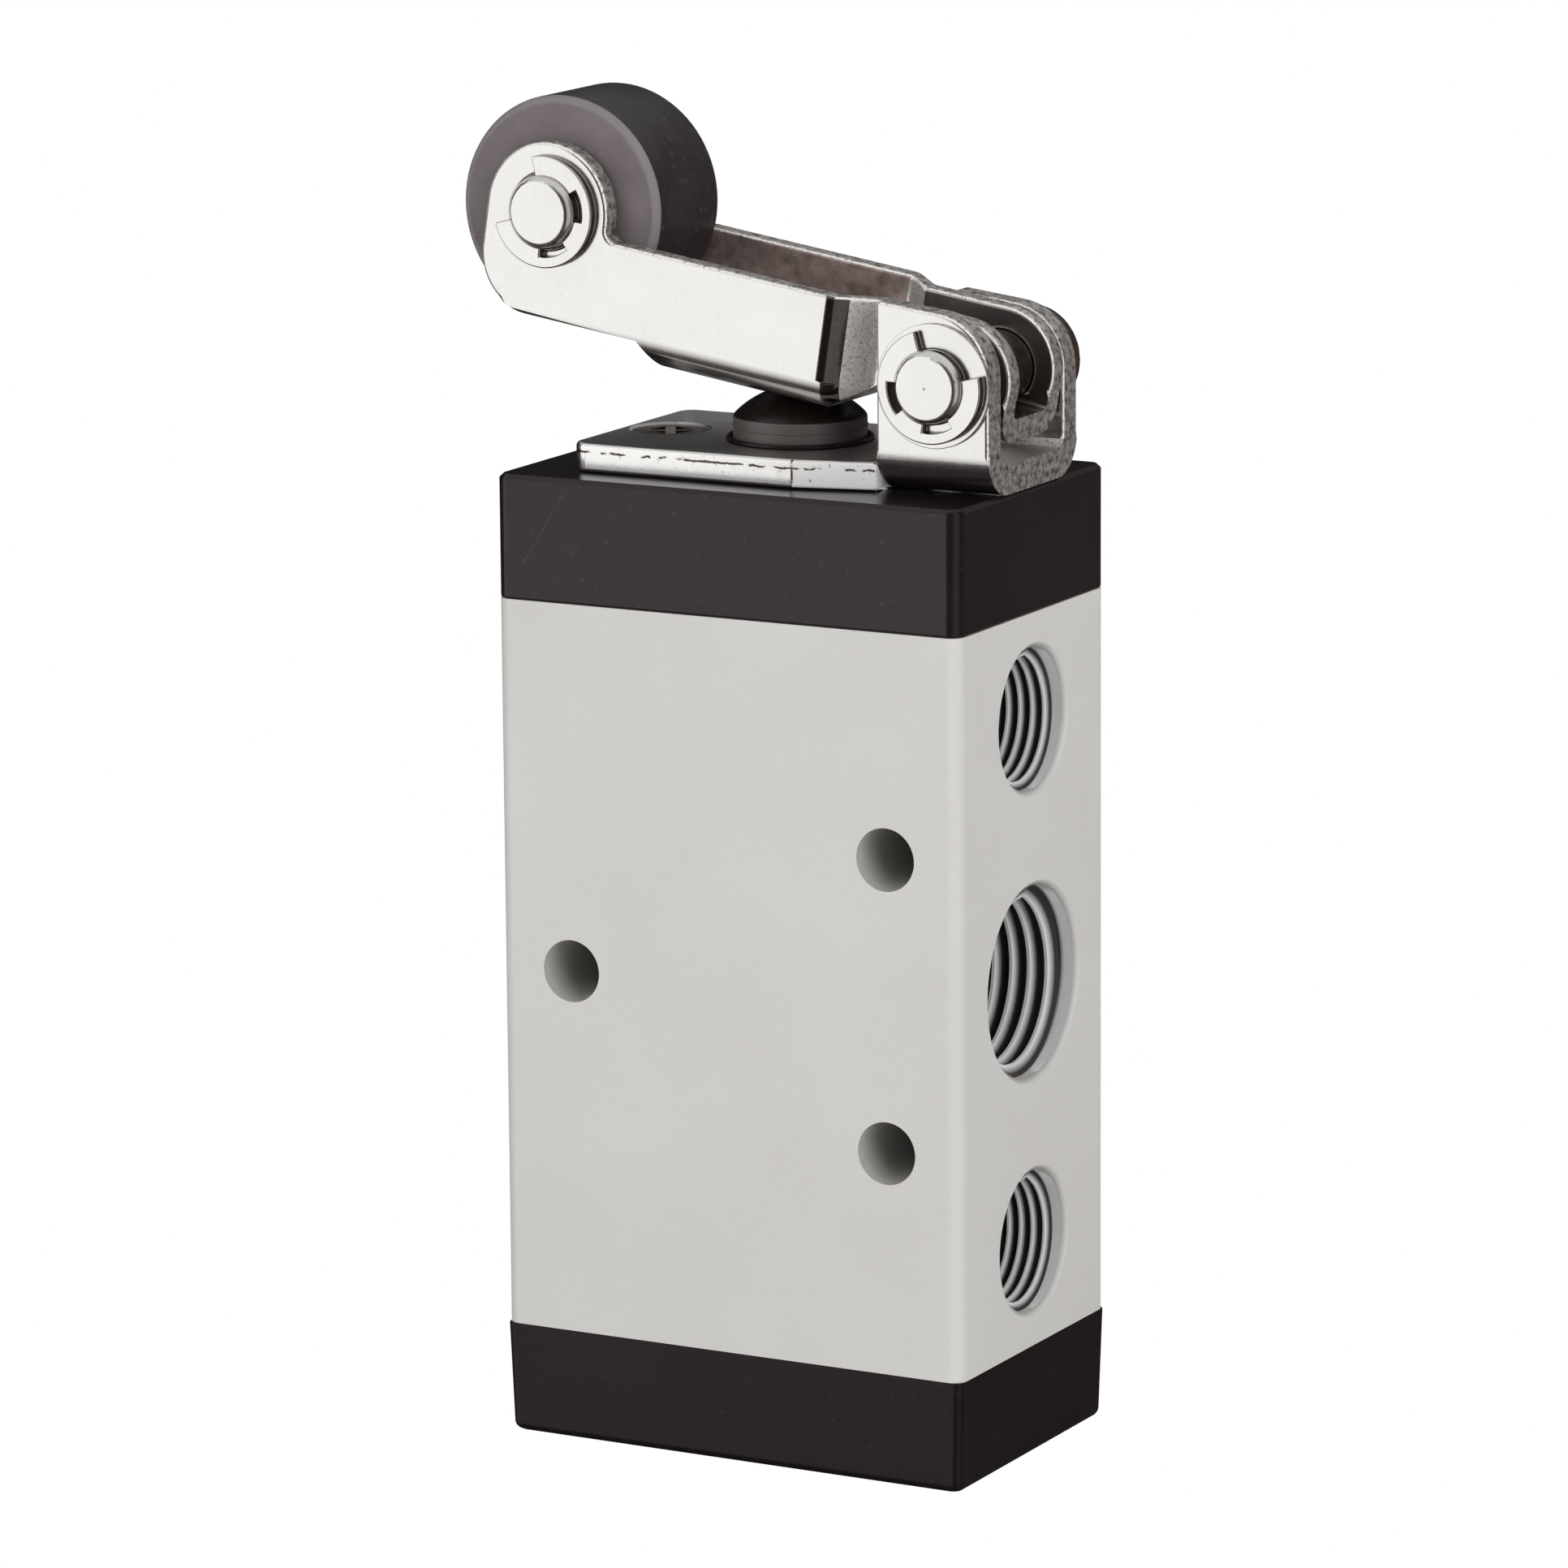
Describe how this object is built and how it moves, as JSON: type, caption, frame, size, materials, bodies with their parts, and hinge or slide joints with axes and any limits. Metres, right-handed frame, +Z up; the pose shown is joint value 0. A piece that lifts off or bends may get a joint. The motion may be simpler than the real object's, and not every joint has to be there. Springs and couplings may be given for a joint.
{
  "type": "roller lever air valve",
  "caption": "Block-shaped air valve with threaded ports, a sprung spool, and a sheet-metal lever whose roller presses a domed plunger into the top.",
  "frame": {"origin": "centre of the foot cap's flat lower face", "axes": "+Z up along the spool, +X towards the face with the supply port and both exhausts, -Y towards the front with the retaining clips"},
  "size_m": [0.0412, 0.022, 0.0916],
  "materials": {
    "body_grey": "satin light grey anodised",
    "cap_black": "satin black anodised",
    "foot_black": "satin moulded",
    "nickel": "bright nickel plate",
    "screw_steel": "plated",
    "spring_steel": "drawn wire",
    "spool_alloy": "turned",
    "roller_grey": "moulded",
    "plunger_black": "satin",
    "rubber_black": "matte"
  },
  "bodies": {
    "housing": {"valve_body": "body_grey", "top_cap": "cap_black", "foot_cap": "foot_black", "top_gasket": "rubber_black", "foot_gasket": "rubber_black", "cap_screws": "screw_steel", "foot_screws": "screw_steel", "lever_bracket": "nickel", "bracket_screws": "screw_steel", "pivot_pin": "nickel", "pivot_washer": "nickel", "pivot_clip": "nickel", "plunger_wiper": "rubber_black", "return_spring": "spring_steel"},
    "lever": {"lever": "nickel", "roller_axle": "nickel", "roller_clip": "nickel"},
    "roller": {"roller": "roller_grey"},
    "plunger": {"plunger": "plunger_black", "spool": "spool_alloy", "spool_seals": "rubber_black"}
  },
  "joints": [
    {"name": "lever_pivot", "type": "hinge", "parent": "housing", "child": "lever", "pos_m": [0.01355, 0, 0.07415], "axis": [0, -1, 0], "range_deg": [0, 12.5], "stiffness_Nm_per_rad": 0.348, "springref_deg": -21.72},
    {"name": "plunger_slide", "type": "slide", "parent": "housing", "child": "plunger", "axis": [0, 0, -1], "range_m": [0, 0.0029], "deforming": ["return_spring"]},
    {"name": "roller_spin", "type": "hinge", "parent": "lever", "child": "roller", "pos_m": [-0.01594, 0.00002, 0.08398], "axis": [0, 1, 0], "continuous": true}
  ],
  "couplings": [
    {"joint": "plunger_slide", "follows": "lever_pivot", "m_per_rad": 0.01318}
  ]
}
